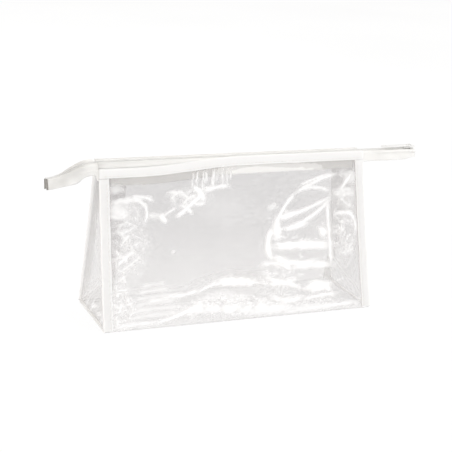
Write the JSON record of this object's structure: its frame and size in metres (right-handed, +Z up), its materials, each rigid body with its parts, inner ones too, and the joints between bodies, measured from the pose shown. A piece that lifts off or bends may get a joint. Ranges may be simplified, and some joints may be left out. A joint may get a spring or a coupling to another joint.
{
  "type": "makeup bag",
  "caption": "Clear soft-sheet makeup bag with a tent section, white taped seams, folded side gussets and a white top zip with long end tabs.",
  "frame": {"origin": "middle of the base's underside, on the surface that the bag stands on", "axes": "+X along the zip towards its closed end, +Y from the front wall to the rear wall, +Z up"},
  "size_m": [0.3032, 0.0704, 0.1235],
  "materials": {
    "clear_sheet": "clear, glossy, slightly rippled",
    "white_tape": "woven, soft sheen",
    "zip_tape": "woven twill",
    "coil_nylon": "satin",
    "slider_enamel": "gloss enamel"
  },
  "bodies": {
    "root": {"base_panel": "clear_sheet", "left_gusset": "clear_sheet", "right_gusset": "clear_sheet", "front_left_seam_tape": "white_tape", "front_right_seam_tape": "white_tape", "rear_left_seam_tape": "white_tape", "rear_right_seam_tape": "white_tape", "left_base_seam_tape": "white_tape", "right_base_seam_tape": "white_tape", "right_tab_front_tape": "zip_tape", "right_tab_rear_tape": "zip_tape", "right_tab_coil": "coil_nylon", "top_stops": "coil_nylon", "bottom_stop": "coil_nylon"},
    "front_wall": {"front_panel": "clear_sheet", "front_top_tape": "white_tape", "front_zip_tape": "zip_tape", "front_coil": "coil_nylon"},
    "rear_wall": {"rear_panel": "clear_sheet", "rear_top_tape": "white_tape", "rear_zip_tape": "zip_tape", "rear_coil": "coil_nylon"},
    "left_tab": {"left_tab_front_tape": "zip_tape", "left_tab_rear_tape": "zip_tape", "left_tab_coil": "coil_nylon"},
    "slider": {"slider_body": "slider_enamel", "slider_crown": "slider_enamel"},
    "pull": {"slider_pull": "slider_enamel"}
  },
  "joints": [
    {"name": "zip_travel", "type": "slide", "parent": "root", "child": "slider", "axis": [-1, 0, 0], "range_m": [0, 0.2366]},
    {"name": "front_wall_fold", "type": "hinge", "parent": "root", "child": "front_wall", "pos_m": [0, -0.03465, 0.0005], "axis": [1, 0, 0], "range_deg": [0, 11]},
    {"name": "rear_wall_fold", "type": "hinge", "parent": "root", "child": "rear_wall", "pos_m": [0, 0.03465, 0.0005], "axis": [-1, 0, 0], "range_deg": [0, 11]},
    {"name": "pull_hinge", "type": "hinge", "parent": "slider", "child": "pull", "pos_m": [0.1523, 0, 0.1223], "axis": [0, 1, 0], "range_deg": [0, 175]},
    {"name": "left_tab_flex", "type": "hinge", "parent": "root", "child": "left_tab", "pos_m": [-0.1084, 0, 0.1165], "axis": [0, 1, 0], "range_deg": [-18, 18], "stiffness_Nm_per_rad": 0.02}
  ],
  "couplings": [
    {"joint": "front_wall_fold", "follows": "zip_travel", "rad_per_m": 0.811},
    {"joint": "rear_wall_fold", "follows": "zip_travel", "rad_per_m": 0.811}
  ]
}
